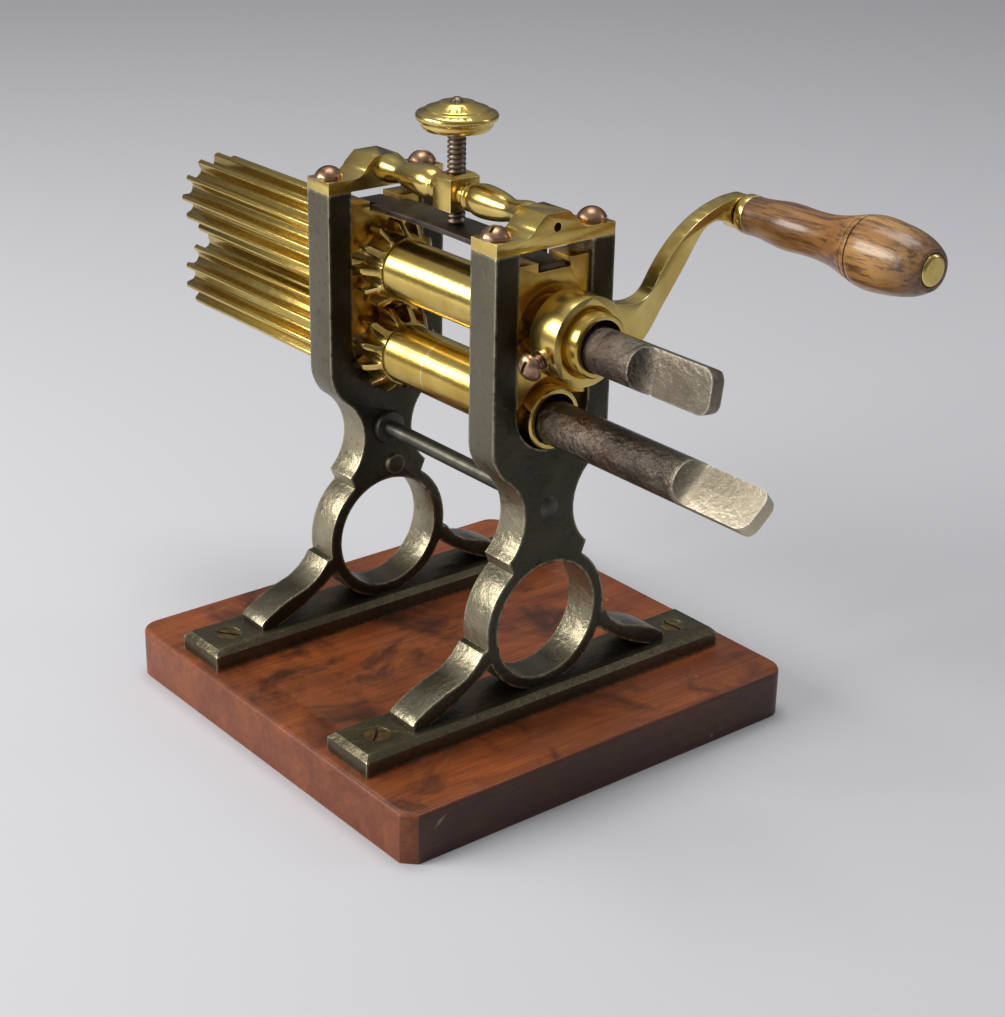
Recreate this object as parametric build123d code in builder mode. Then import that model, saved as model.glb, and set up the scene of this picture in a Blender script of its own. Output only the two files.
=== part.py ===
from build123d import *
import os
from math import asin, cos, hypot, radians, sin, sqrt

# Hand-cranked crimping rollers on a wooden board.
# Millimetres. +X runs along the rollers towards the crank and the heater irons,
# +Y runs across the board, +Z is up. The origin lies on the board's underside,
# midway between the two frames.

os.makedirs("parts", exist_ok=True)

# ---------------------------------------------------------------- driving sizes
board_length = 183.0        # along X
board_width = 184.0         # along Y
board_thickness = 20.0
board_shift_y = 2.8         # the frames stand a little off the board's middle
board_corner_radius = 8.0
board_worn_corner = 4.8      # flat worn across the corner under the crank
board_edge_radius = 2.2

frame_spacing = 99.0        # between the middles of the two frames
frame_thickness = 14.0
foot_length = 170.0
foot_width = 24.5
foot_height = 8.0
foot_bevel = 2.2
foot_screw_inset = 13.0     # from the end of the foot to the screw
ring_outer_radius = 27.8
ring_wall = 4.9
ring_rise = 26.9            # ring centre above the top of the foot
leg_reach = 61.2            # from the middle to the toe of a leg
waist_half_width = 11.5
yoke_slot_depth = 74.3      # from the uprights' tops down to the slot's floor
yoke_floor = 7.2            # iron between the slot's floor and the yoke's underside
yoke_ledge = 5.0            # width of the small ledge under each side of the yoke
yoke_shoulder = 11.5        # height of the yoke's rounded lower corners
upright_outer = 26.6        # from the middle to the outside of an upright
slot_half_width = 16.4      # from the middle to the inside of an upright
frame_height = 177.0        # uprights' tops above the board
lump_radius = 4.5           # casting lump on the far frame's inner face
lump_height = 1.4

journal_radius = 11.5
running_clearance = 0.05
bore_radius = 9.5
tip_radius = 17.5
root_radius = 12.3
ridge_count = 12
ridge_thickness = 2.3
ridge_fillet = 1.9          # in the corners between a ridge and the flutes beside it
roller_centres = 33.3       # distance between the two roller axes
fluted_length = 108.5
gear_width = 6.0            # of the gear section, at its ridges' tips
gear_slope = 6.2            # length of the cone its ridges run out in
side_gap = 1.0              # between a turning face and the frame beside it
upper_phase = 27.7          # degrees from +Y to the first ridge of the upper roller
lower_phase = 14.3
lower_end_proud = 1.5       # lower roller's end beyond the near frame
upper_end_proud = 24.5      # upper roller's end beyond the near frame
roller_end_chamfer = 0.6
fluted_end_chamfer = 1.2     # on the free ends of the ridges

slot_play = 0.2             # between a block and each side of its slot
block_thickness = 12.0
upper_horn_rise = 5.8       # lower edge of the upper block above the upper axis
block_top_rise = 24.3       # tops of its two ears above the upper axis
notch_rise = 20.9           # floor of its notch above the upper axis
notch_half_width = 7.3
dish_radius = 16.0          # outer rim of the dished saddles
dish_depth = 3.6
middle_top_drop = 3.6       # upper edge of the middle block below the upper axis
middle_foot_rise = 6.3      # lower edge of the middle block above the lower axis

cap_thickness = 4.7
cap_overhang = 0.1          # cap's end beyond the upright on each side
hump_height = 11.8          # above the uprights' tops
hump_top_half = 5.2
hump_foot_half = 11.6
hump_blend = 3.0
bar_rise = 7.0              # bar's axis above the uprights' tops
bulb_radius = 5.4
neck_radius = 4.2
vase_radius = 6.2
bead_radius = 5.4
boss_length = 10.4          # along X
boss_width = 13.2           # along Y
boss_drop = 6.0             # boss below the bar's axis
boss_rise = 7.0             # boss above the bar's axis
boss_bevel = 1.2
centre_hole_radius = 1.65
centre_hole_depth = 4.0

screw_head_radius = 5.4
screw_head_height = 4.6
screw_shank_radius = 2.5
screw_clearance = 0.05
cap_screw_length = 18.0
slot_width = 1.2
slot_depth = 1.7
wood_screw_head_radius = 4.9
wood_screw_head_height = 2.8
wood_screw_radius = 2.2
wood_screw_length = 19.0

pressure_screw_radius = 3.4
pressure_screw_top = 41.1   # its riveted top above the uprights' tops
screw_nub_radius = 2.1
knob_radius = 15.0
knob_rise = 28.6            # underside of the knob above the uprights' tops
knob_height = 11.3
leaf_thickness = 2.0
leaf_half_width = 8.5
leaf_tongue_half = 5.6
leaf_gap = 0.1              # to the notch floors and to the pressure screw
leaf_arch = 1.6             # how far the leaf's middle stands above its ends
leaf_end_inset = 1.0        # from the blocks' outer faces to the leaf's ends

stretcher_rise = 1.2        # stretcher's axis above the narrowest place of the waist
stretcher_radius = 3.15
stretcher_tenon_radius = 2.8
stretcher_collar_radius = 7.0
stretcher_collar_length = 2.2
rivet_radius = 4.35
rivet_height = 0.9

hub_radius = 16.0
hub_length = 13.0
hub_gap = 5.5               # between the near frame and the hub
hub_mouth = 1.4             # countersink round the roller's end
push_fit = 0.02
arm_thickness = 6.5
arm_setback = 3.0           # arm's front face behind the hub's
crank_reach_y = 75.0        # handle's axis from the roller's axis, across
crank_reach_z = 32.8        # and up
eye_radius = 6.4
set_screw_angle = 197.0     # degrees from +Y towards +Z
set_screw_radius = 2.5
set_screw_head_radius = 5.2
set_screw_head_height = 4.2
set_screw_stand = 21.4      # underside of its head from the roller's axis
pad_radius = 4.0
pad_rise = 1.2              # pad above the hub's rim

handle_gap = 0.3            # between the arm and the ferrule
handle_length = 85.5
ferrule_length = 4.0
ferrule_radius = 7.2
ferrule_wall = 1.2
handle_neck_radius = 7.05
handle_swell_radius = 8.4
handle_waist_radius = 8.15
handle_belly_radius = 12.8
handle_end_radius = 7.4
groove_depth = 0.9
groove_pitch = 2.6
spindle_radius = 2.5
spindle_head_radius = 5.6
spindle_head_length = 1.6
head_recess = 1.0

iron_radius = 8.2
iron_length = 288.5
iron_lift = 0.25            # between the iron and the bottom of its bore
iron_insertion = 234.5      # how far the upper iron reaches into its roller
lower_insertion = 187.5     # how far the lower iron reaches into its roller
tongue_length = 32.0
tongue_offset = 1.0         # tongue's flat from the rod's axis
tongue_thickness = 5.4      # left between its flat and its hammered back
tongue_scoop = 6.0          # radius of the curved shoulder
tongue_corner = 5.0
upper_flat_angle = 8.0      # degrees above level, the way each flat faces
lower_flat_angle = 50.0

# ---------------------------------------------------------------- derived places
frame_x = frame_spacing / 2
frame_inside = frame_x - frame_thickness / 2
frame_outside = frame_x + frame_thickness / 2
foot_top = board_thickness + foot_height
foot_screw_y = foot_length / 2 - foot_screw_inset
ring_z = foot_top + ring_rise
ring_inner_radius = ring_outer_radius - ring_wall
upright_top = board_thickness + frame_height
slot_floor = upright_top - yoke_slot_depth
head_z = slot_floor - yoke_floor
waist_tip = (ring_outer_radius * 0.66, ring_z + ring_outer_radius * 0.98)
waist_z = (head_z + waist_tip[1]) / 2
upright_mid = (upright_outer + slot_half_width) / 2
stretcher_z = waist_z + stretcher_rise

bearing_radius = journal_radius + running_clearance
lower_axis_z = slot_floor + bearing_radius
upper_axis_z = lower_axis_z + roller_centres
fluted_end = -frame_outside - side_gap
roller_far_end = fluted_end - fluted_length
gear_far_face = -frame_inside + side_gap
gear_near_face = gear_far_face + gear_width
gear_foot = gear_near_face + gear_slope
upper_roller_end = frame_outside + upper_end_proud
lower_roller_end = frame_outside + lower_end_proud

block_half_width = slot_half_width - slot_play
notch_z = upper_axis_z + notch_rise
bar_z = upright_top + bar_rise
leaf_end_x = frame_x + block_thickness / 2 - leaf_end_inset
leaf_end_z = notch_z + leaf_gap
screw_tip_z = leaf_end_z + leaf_arch + leaf_thickness + leaf_gap

hub_x = frame_outside + hub_gap
hub_front = hub_x + hub_length
hub_middle = hub_x + hub_length / 2
arm_front = hub_front - arm_setback
handle_y = crank_reach_y
handle_z = upper_axis_z + crank_reach_z
handle_x = arm_front + handle_gap
handle_end = handle_x + handle_length


def lengthwise(y, z):
    """Plane through a line parallel to X: local x along the line, local y upwards."""
    return Plane(origin=(0, y, z), x_dir=(1, 0, 0), z_dir=(0, -1, 0))


def upright(x, y, z):
    """Plane through a vertical line: local x along X, local y upwards."""
    return Plane(origin=(x, y, z), x_dir=(1, 0, 0), z_dir=(0, -1, 0))


def dome_middle(radius, low, high):
    """Middle point of a dome's arc, from its rim at height low to its crown."""
    rise = high - low
    sphere = (radius * radius + rise * rise) / (2 * rise)
    half_turn = asin(min(1.0, radius / sphere)) / 2
    return (sphere * sin(half_turn), high - sphere + sphere * cos(half_turn))


# ---------------------------------------------------------------- frame outline
# Drawn across the machine: local x is Y, local y is Z. A yoke with two uprights,
# a waist, a ring and two scrolled legs. One half is drawn and mirrored.
ring_shoulder = (ring_outer_radius * cos(radians(54)), ring_outer_radius * sin(radians(54)))
ledge_y = upright_outer - yoke_ledge
shoulder_z = head_z + yoke_shoulder
leg_span_y = leg_reach - ring_outer_radius
leg_span_z = ring_z - foot_top


def leg_point(across, up):
    return (ring_outer_radius + across * leg_span_y, foot_top + up * leg_span_z)


with BuildSketch() as frame_shape:
    with BuildLine():
        Polyline((0, upright_top), (upright_outer, upright_top), (upright_outer, shoulder_z))
        ThreePointArc(
            (upright_outer, shoulder_z),
            (ledge_y + yoke_ledge * 0.66, head_z + yoke_shoulder * 0.43),
            (ledge_y, head_z),
        )
        ledge_foot = (ledge_y - yoke_ledge * 0.4, head_z - yoke_ledge * 0.3)
        Line((ledge_y, head_z), ledge_foot)
        ThreePointArc(ledge_foot, (waist_half_width, waist_z), waist_tip)
        Polyline(
            waist_tip,
            (ring_shoulder[0], ring_z + ring_shoulder[1]),
            (0, ring_z + ring_shoulder[1]),
            (0, upright_top),
        )
    make_face()
    with BuildLine():
        Line(leg_point(-0.12, 0.84), leg_point(0.06, 0.803))
        ThreePointArc(leg_point(0.06, 0.803), leg_point(0.19, 0.605), leg_point(0.42, 0.445))
        ThreePointArc(leg_point(0.42, 0.445), leg_point(0.72, 0.31), leg_point(0.97, 0.13))
        Line(leg_point(0.97, 0.13), leg_point(0.995, 0.08))
        Line(leg_point(0.995, 0.08), leg_point(0.97, -0.04))
        Line(leg_point(0.97, -0.04), leg_point(0.87, -0.04))
        ThreePointArc(leg_point(0.87, -0.04), leg_point(0.41, 0.205), leg_point(-0.06, 0.595))
        Line(leg_point(-0.06, 0.595), leg_point(-0.12, 0.84))
    make_face()
    with Locations((0, ring_z)):
        Circle(ring_outer_radius)
    mirror(about=Plane.YZ)
    with Locations((0, ring_z)):
        Circle(ring_inner_radius, mode=Mode.SUBTRACT)
    with Locations((0, slot_floor + slot_half_width)):
        Circle(slot_half_width, mode=Mode.SUBTRACT)
    straight_slot = upright_top - slot_floor - slot_half_width
    with Locations((0, upright_top - straight_slot / 2)):
        Rectangle(2 * slot_half_width, straight_slot, mode=Mode.SUBTRACT)
    with Locations((0, stretcher_z)):
        Circle(stretcher_tenon_radius + screw_clearance, mode=Mode.SUBTRACT)

# ---------------------------------------------------------------- ridge outline
# Twelve narrow ridges with rounded tips and deep flutes between them, the same on the
# long crimping sections and on the short sections that gear the rollers together.
ridge_crown = tip_radius - ridge_thickness / 2


def ridge_outline(phase):
    with BuildSketch() as outline:
        Circle(root_radius)
        with PolarLocations((bore_radius + ridge_crown) / 2, ridge_count, start_angle=phase):
            Rectangle(ridge_crown - bore_radius, ridge_thickness)
        corners = outline.vertices().filter_by(lambda v: hypot(v.X, v.Y) < ridge_crown - 1.0)
        fillet(corners, ridge_fillet)
        with PolarLocations(ridge_crown, ridge_count, start_angle=phase):
            Circle(ridge_thickness / 2)
    return outline.sketch


upper_ridges = ridge_outline(upper_phase)
lower_ridges = ridge_outline(lower_phase)

# ---------------------------------------------------------------- base board
foot_screw_places = [
    (x, y) for x in (-frame_x, frame_x) for y in (-foot_screw_y, foot_screw_y)
]
wood_screw_seat = foot_top - 0.3
wood_screw_tip = wood_screw_seat - wood_screw_length
near_corner = (board_length / 2, board_shift_y - board_width / 2, 0)
with BuildPart() as base_board:
    with BuildSketch() as board_shape:
        with Locations((0, board_shift_y)):
            Rectangle(board_length, board_width)
        fillet(board_shape.vertices().sort_by_distance(near_corner)[1:], board_corner_radius)
        chamfer(board_shape.vertices().sort_by_distance(near_corner)[0], board_worn_corner)
    extrude(amount=board_thickness)
    fillet(base_board.faces().sort_by(Axis.Z)[-1].edges(), board_edge_radius)
    with BuildSketch(Plane.XY.offset(wood_screw_tip - 1.0)):
        with Locations(*foot_screw_places):
            Circle(wood_screw_radius + screw_clearance)
    extrude(amount=board_thickness - wood_screw_tip + 1.0, mode=Mode.SUBTRACT)
base_board.part.label = "base_board"
export_step(base_board.part, "parts/base_board.step")

# ---------------------------------------------------------------- the two frames
head_top_radius = wood_screw_head_radius + screw_clearance
head_low_radius = wood_screw_radius + screw_clearance
foot_screw_hole = wood_screw_seat - wood_screw_head_height
cap_screw_tip = upright_top + cap_thickness - cap_screw_length


def foot_and_plate(x):
    """A bevelled foot bar with the outlined plate on it, bored for its screws."""
    with BuildPart() as casting:
        with BuildSketch(Plane.XY.offset(board_thickness)):
            with Locations((x, 0)):
                Rectangle(foot_width, foot_length)
        extrude(amount=foot_height)
        chamfer(casting.faces().sort_by(Axis.Z)[-1].edges(), foot_bevel)
        with BuildSketch(Plane.YZ.offset(x - frame_thickness / 2)):
            add(frame_shape.sketch)
        extrude(amount=frame_thickness)
        for y in (-foot_screw_y, foot_screw_y):
            with BuildSketch(upright(x, y, wood_screw_seat)):
                with BuildLine():
                    Polyline(
                        (0, foot_height),
                        (head_top_radius, foot_height),
                        (head_top_radius, 0),
                        (head_low_radius, -wood_screw_head_height),
                        (head_low_radius, -foot_height - 1),
                        (0, -foot_height - 1),
                        (0, foot_height),
                    )
                make_face()
            revolve(axis=Axis((x, y, 0), (0, 0, 1)), mode=Mode.SUBTRACT)
        with BuildSketch(Plane.XY.offset(upright_top)):
            with Locations((x, -upright_mid), (x, upright_mid)):
                Circle(screw_shank_radius + screw_clearance)
        extrude(amount=cap_screw_tip - 1.0 - upright_top, mode=Mode.SUBTRACT)
    return casting.part


far_casting = foot_and_plate(-frame_x)
near_casting = foot_and_plate(frame_x)

with BuildPart() as frame_far:
    add(far_casting)
    with BuildSketch(Plane.YZ.offset(-frame_inside)):
        with Locations((3.0, ring_z + ring_outer_radius + 1.0)):
            Circle(lump_radius)
    extrude(amount=lump_height, taper=20)
frame_far.part.label = "frame_far"
export_step(frame_far.part, "parts/frame_far.step")

with BuildPart() as frame_near:
    add(near_casting)
frame_near.part.label = "frame_near"
export_step(frame_near.part, "parts/frame_near.step")

# ---------------------------------------------------------------- foot screws
with BuildPart() as foot_screws:
    for number, (x, y) in enumerate(foot_screw_places):
        with BuildSketch(upright(x, y, wood_screw_seat)):
            with BuildLine():
                Polyline(
                    (0, 0),
                    (wood_screw_head_radius, 0),
                    (wood_screw_radius, -wood_screw_head_height),
                    (wood_screw_radius, -wood_screw_length + 3.0),
                    (0.4, -wood_screw_length),
                    (0, -wood_screw_length),
                    (0, 0),
                )
            make_face()
        revolve(axis=Axis((x, y, 0), (0, 0, 1)))
        with BuildSketch(Plane.XY.offset(wood_screw_seat)):
            with Locations(Location((x, y, 0), (0, 0, 35 + 50 * number))):
                Rectangle(3 * wood_screw_head_radius, slot_width)
        extrude(amount=-slot_depth, mode=Mode.SUBTRACT)
foot_screws.part.label = "foot_screws"
export_step(foot_screws.part, "parts/foot_screws.step")

# ---------------------------------------------------------------- stretcher bar
# A rod between the waists, shouldered at the far frame and riveted through both.
with BuildPart() as stretcher_bar:
    with BuildSketch(lengthwise(0, stretcher_z)):
        with BuildLine():
            Polyline(
                (-frame_outside - rivet_height, 0),
                (-frame_outside - rivet_height, rivet_radius * 0.6),
                (-frame_outside, rivet_radius),
                (-frame_outside, stretcher_tenon_radius),
                (-frame_inside, stretcher_tenon_radius),
                (-frame_inside, stretcher_collar_radius),
                (-frame_inside + stretcher_collar_length, stretcher_collar_radius - 0.6),
                (-frame_inside + stretcher_collar_length, stretcher_radius),
                (frame_inside, stretcher_radius),
                (frame_inside, stretcher_tenon_radius),
                (frame_outside, stretcher_tenon_radius),
                (frame_outside, rivet_radius),
                (frame_outside + rivet_height, rivet_radius * 0.6),
                (frame_outside + rivet_height, 0),
                (-frame_outside - rivet_height, 0),
            )
        make_face()
    revolve(axis=Axis((0, 0, stretcher_z), (1, 0, 0)))
stretcher_bar.part.label = "stretcher_bar"
export_step(stretcher_bar.part, "parts/stretcher_bar.step")


# ---------------------------------------------------------------- rollers
# Hollow castings: a fluted crimping length, a journal, a fluted gear section that runs
# out in a cone, and a plain barrel that turns in the near frame and comes out past it.
def hollow_roller(axis_z, ridges, end_x):
    with BuildPart() as casting:
        with BuildSketch(Plane.YZ.offset(roller_far_end)):
            add(ridges.moved(Location((0, axis_z, 0))))
        extrude(amount=fluted_length)
        with BuildSketch(Plane.YZ.offset(gear_far_face)):
            add(ridges.moved(Location((0, axis_z, 0))))
        extrude(amount=gear_foot - gear_far_face)
        with BuildSketch(lengthwise(0, axis_z)):
            with BuildLine():
                Polyline(
                    (gear_near_face, tip_radius),
                    (gear_foot, root_radius),
                    (gear_foot + 1.0, root_radius),
                    (gear_foot + 1.0, tip_radius + 1.0),
                    (gear_near_face, tip_radius + 1.0),
                    (gear_near_face, tip_radius),
                )
            make_face()
            with BuildLine():
                Polyline(
                    (roller_far_end, tip_radius - fluted_end_chamfer),
                    (roller_far_end + fluted_end_chamfer, tip_radius),
                    (roller_far_end + fluted_end_chamfer, tip_radius + 1.0),
                    (roller_far_end - 1.0, tip_radius + 1.0),
                    (roller_far_end - 1.0, tip_radius - fluted_end_chamfer),
                    (roller_far_end, tip_radius - fluted_end_chamfer),
                )
            make_face()
        revolve(axis=Axis((0, 0, axis_z), (1, 0, 0)), mode=Mode.SUBTRACT)
        with BuildSketch(lengthwise(0, axis_z)):
            with BuildLine():
                Polyline(
                    (roller_far_end + 1.0, 0),
                    (roller_far_end + 1.0, journal_radius),
                    (end_x - roller_end_chamfer, journal_radius),
                    (end_x, journal_radius - roller_end_chamfer),
                    (end_x, 0),
                    (roller_far_end + 1.0, 0),
                )
            make_face()
        revolve(axis=Axis((0, 0, axis_z), (1, 0, 0)))
        with BuildSketch(Plane.YZ.offset(roller_far_end - 1.0)):
            with Locations((0, axis_z)):
                Circle(bore_radius)
        extrude(amount=end_x - roller_far_end + 2.0, mode=Mode.SUBTRACT)
    return casting.part


with BuildPart() as lower_roller:
    add(hollow_roller(lower_axis_z, lower_ridges, lower_roller_end))
lower_roller.part.label = "lower_roller"
export_step(lower_roller.part, "parts/lower_roller.step")

with BuildPart() as upper_roller:
    add(hollow_roller(upper_axis_z, upper_ridges, upper_roller_end))
upper_roller.part.label = "upper_roller"
export_step(upper_roller.part, "parts/upper_roller.step")


# ---------------------------------------------------------------- bearing blocks
def saddle(face_x, outward, axis_z):
    """Half profile of a dished journal seat, from the block's outer face inwards."""
    inner = face_x - outward * (block_thickness + 1.0)
    with BuildSketch(lengthwise(0, axis_z)) as seat:
        with BuildLine():
            Polyline(
                (inner, 0),
                (inner, bearing_radius),
                (face_x - outward * dish_depth, bearing_radius),
                (face_x, dish_radius),
                (face_x + outward, dish_radius),
                (face_x + outward, 0),
                (inner, 0),
            )
        make_face()
    return seat.sketch


block_sides = (("far", -frame_x, -1), ("near", frame_x, 1))
for side, x, outward in block_sides:
    face_x = x + outward * block_thickness / 2
    with BuildPart() as middle_block:
        block_low = lower_axis_z + middle_foot_rise
        block_high = upper_axis_z - middle_top_drop
        with BuildSketch(Plane.YZ.offset(x - block_thickness / 2)):
            with Locations((0, (block_low + block_high) / 2)):
                Rectangle(2 * block_half_width, block_high - block_low)
        extrude(amount=block_thickness)
        for axis_z in (lower_axis_z, upper_axis_z):
            add(saddle(face_x, outward, axis_z))
            revolve(axis=Axis((0, 0, axis_z), (1, 0, 0)), mode=Mode.SUBTRACT)
    middle_block.part.label = f"middle_block_{side}"
    export_step(middle_block.part, f"parts/middle_block_{side}.step")

    with BuildPart() as upper_block:
        block_low = upper_axis_z + upper_horn_rise
        block_high = upper_axis_z + block_top_rise
        with BuildSketch(Plane.YZ.offset(x - block_thickness / 2)):
            with Locations((0, (block_low + block_high) / 2)):
                Rectangle(2 * block_half_width, block_high - block_low)
            with Locations((0, (notch_z + block_high + 1.0) / 2)):
                Rectangle(2 * notch_half_width, block_high + 1.0 - notch_z, mode=Mode.SUBTRACT)
        extrude(amount=block_thickness)
        add(saddle(face_x, outward, upper_axis_z))
        revolve(axis=Axis((0, 0, upper_axis_z), (1, 0, 0)), mode=Mode.SUBTRACT)
    upper_block.part.label = f"upper_block_{side}"
    export_step(upper_block.part, f"parts/upper_block_{side}.step")

# ---------------------------------------------------------------- leaf spring
# A strip with a narrow tongue in each notch, arched up to the pressure screw.
with BuildPart() as leaf_spring:
    with BuildSketch(Plane.XZ.offset(-leaf_half_width)):
        with BuildLine():
            ThreePointArc(
                (-leaf_end_x, leaf_end_z), (0, leaf_end_z + leaf_arch), (leaf_end_x, leaf_end_z)
            )
            Line((leaf_end_x, leaf_end_z), (leaf_end_x, leaf_end_z + leaf_thickness))
            ThreePointArc(
                (leaf_end_x, leaf_end_z + leaf_thickness),
                (0, leaf_end_z + leaf_arch + leaf_thickness),
                (-leaf_end_x, leaf_end_z + leaf_thickness),
            )
            Line((-leaf_end_x, leaf_end_z + leaf_thickness), (-leaf_end_x, leaf_end_z))
        make_face()
    extrude(amount=2 * leaf_half_width)
    shoulder_x = frame_inside - side_gap
    tongue_span = leaf_end_x + 1.0 - shoulder_x
    with BuildSketch(Plane.XY.offset(leaf_end_z - 1.0)):
        for end in (-1, 1):
            for edge in (-1, 1):
                with Locations(
                    (
                        end * (shoulder_x + tongue_span / 2),
                        edge * (leaf_tongue_half + leaf_half_width / 2),
                    )
                ):
                    Rectangle(tongue_span, leaf_half_width)
    extrude(amount=leaf_arch + leaf_thickness + 3.0, mode=Mode.SUBTRACT)
leaf_spring.part.label = "leaf_spring"
export_step(leaf_spring.part, "parts/leaf_spring.step")

# ---------------------------------------------------------------- bridge
# One casting: a cap on each pair of uprights, joined by a turned baluster bar with a
# square boss for the pressure screw. The ends keep the lathe's centre holes.
cap_half_width = upright_outer - cap_overhang
with BuildSketch() as cap_shape:
    with BuildLine():
        Polyline(
            (0, upright_top),
            (cap_half_width, upright_top),
            (cap_half_width, upright_top + cap_thickness),
            (hump_foot_half + hump_blend, upright_top + cap_thickness),
        )
        ThreePointArc(
            (hump_foot_half + hump_blend, upright_top + cap_thickness),
            (hump_foot_half, upright_top + cap_thickness + 0.9),
            (hump_foot_half - 2.0, upright_top + cap_thickness + 3.2),
        )
        Polyline(
            (hump_foot_half - 2.0, upright_top + cap_thickness + 3.2),
            (hump_top_half, upright_top + hump_height),
            (0, upright_top + hump_height),
            (0, upright_top),
        )
    make_face()
    mirror(about=Plane.YZ)

bar_half = frame_inside + 0.5
boss_half = boss_length / 2


def bar_point(share, radius):
    """Point of the bar's outline, at a share of the way from the boss to the cap."""
    return (boss_half + share * (bar_half - boss_half), radius)


with BuildPart() as bridge:
    for x in (-frame_x, frame_x):
        with BuildSketch(Plane.YZ.offset(x - frame_thickness / 2)):
            add(cap_shape.sketch)
        extrude(amount=frame_thickness)
    with BuildSketch(lengthwise(0, bar_z)):
        with BuildLine():
            Polyline((0, 0), (0, neck_radius), bar_point(0.026, neck_radius))
            Spline(
                bar_point(0.026, neck_radius),
                bar_point(0.075, neck_radius),
                bar_point(0.108, bead_radius),
                bar_point(0.14, bead_radius * 0.94),
            )
            Line(bar_point(0.14, bead_radius * 0.94), bar_point(0.152, bead_radius * 0.88))
            Spline(
                bar_point(0.152, bead_radius * 0.88),
                bar_point(0.23, vase_radius * 0.95),
                bar_point(0.33, vase_radius),
                bar_point(0.46, vase_radius * 0.94),
                bar_point(0.6, neck_radius * 1.18),
                bar_point(0.7, neck_radius),
                bar_point(0.78, neck_radius * 1.06),
                bar_point(0.88, bulb_radius * 0.96),
                bar_point(0.95, bulb_radius),
                bar_point(1.0, bulb_radius * 0.95),
            )
            Polyline(bar_point(1.0, bulb_radius * 0.95), (bar_half, 0), (0, 0))
        make_face()
        mirror(about=Plane.YZ)
    revolve(axis=Axis((0, 0, bar_z), (1, 0, 0)))
    with BuildSketch(Plane.XY.offset(bar_z - boss_drop)):
        Rectangle(boss_length, boss_width)
    extrude(amount=boss_drop + boss_rise)
    boss_rim = bridge.faces().filter_by(Axis.Z).filter_by_position(
        Axis.Z, bar_z + boss_rise - 0.01, bar_z + boss_rise + 0.01
    )
    chamfer(boss_rim.edges(), boss_bevel)
    with BuildSketch(Plane.XY.offset(bar_z - boss_drop - 1.0)):
        Circle(pressure_screw_radius + running_clearance)
    extrude(amount=boss_drop + boss_rise + 2.0, mode=Mode.SUBTRACT)
    with BuildSketch(Plane.XY.offset(upright_top - 1.0)):
        for x in (-frame_x, frame_x):
            with Locations((x, -upright_mid), (x, upright_mid)):
                Circle(screw_shank_radius + screw_clearance)
    extrude(amount=cap_thickness + 2.0, mode=Mode.SUBTRACT)
    for x, inwards in ((-frame_outside, 1), (frame_outside, -1)):
        with BuildSketch(Plane.YZ.offset(x)):
            with Locations((0, bar_z - 0.3)):
                Circle(centre_hole_radius)
        extrude(amount=inwards * centre_hole_depth, mode=Mode.SUBTRACT)
bridge.part.label = "bridge"
export_step(bridge.part, "parts/bridge.step")

# ---------------------------------------------------------------- cap screws
screw_seat = upright_top + cap_thickness
cap_screw_places = [
    (x, y) for x in (-frame_x, frame_x) for y in (-upright_mid, upright_mid)
]
cap_slot_turns = (70, 20, 115, 60)
with BuildPart() as cap_screws:
    for (x, y), turn in zip(cap_screw_places, cap_slot_turns):
        with BuildSketch(upright(x, y, screw_seat)):
            with BuildLine():
                Polyline(
                    (0, -cap_screw_length),
                    (screw_shank_radius - 0.6, -cap_screw_length),
                    (screw_shank_radius, -cap_screw_length + 1.0),
                    (screw_shank_radius, 0),
                    (screw_head_radius, 0),
                    (screw_head_radius, screw_head_height * 0.22),
                )
                ThreePointArc(
                    (screw_head_radius, screw_head_height * 0.22),
                    dome_middle(screw_head_radius, screw_head_height * 0.22, screw_head_height),
                    (0, screw_head_height),
                )
                Line((0, screw_head_height), (0, -cap_screw_length))
            make_face()
        revolve(axis=Axis((x, y, 0), (0, 0, 1)))
        with BuildSketch(Plane.XY.offset(screw_seat + screw_head_height)):
            with Locations(Location((x, y, 0), (0, 0, turn))):
                Rectangle(3 * screw_head_radius, slot_width)
        extrude(amount=-slot_depth, mode=Mode.SUBTRACT)
cap_screws.part.label = "cap_screws"
export_step(cap_screws.part, "parts/cap_screws.step")

# ---------------------------------------------------------------- pressure screw
knob_z = upright_top + knob_rise
nub_z = upright_top + pressure_screw_top
with BuildPart() as pressure_screw:
    with BuildSketch(upright(0, 0, 0)):
        with BuildLine():
            Polyline(
                (0, screw_tip_z),
                (pressure_screw_radius - 0.8, screw_tip_z),
                (pressure_screw_radius, screw_tip_z + 0.8),
                (pressure_screw_radius, knob_z),
                (screw_nub_radius, knob_z),
                (screw_nub_radius, nub_z - 0.8),
                (screw_nub_radius - 0.9, nub_z),
                (0, nub_z),
                (0, screw_tip_z),
            )
        make_face()
    revolve(axis=Axis.Z)
pressure_screw.part.label = "pressure_screw"
export_step(pressure_screw.part, "parts/pressure_screw.step")

with BuildPart() as screw_knob:
    with BuildSketch(upright(0, 0, knob_z)):
        with BuildLine():
            Polyline(
                (screw_nub_radius + push_fit, 0.0),
                (knob_radius * 0.52, 0.0),
                (knob_radius * 0.8, knob_height * 0.1),
                (knob_radius * 0.88, knob_height * 0.24),
                (knob_radius * 0.88, knob_height * 0.34),
                (knob_radius * 0.97, knob_height * 0.42),
            )
            ThreePointArc(
                (knob_radius * 0.97, knob_height * 0.42),
                (knob_radius, knob_height * 0.52),
                (knob_radius * 0.95, knob_height * 0.64),
            )
            Polyline(
                (knob_radius * 0.95, knob_height * 0.64),
                (knob_radius * 0.8, knob_height * 0.7),
                (knob_radius * 0.76, knob_height * 0.78),
                (knob_radius * 0.45, knob_height * 0.93),
                (knob_radius * 0.42, knob_height * 0.97),
                (screw_nub_radius + push_fit, knob_height),
                (screw_nub_radius + push_fit, 0.0),
            )
        make_face()
    revolve(axis=Axis.Z)
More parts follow.
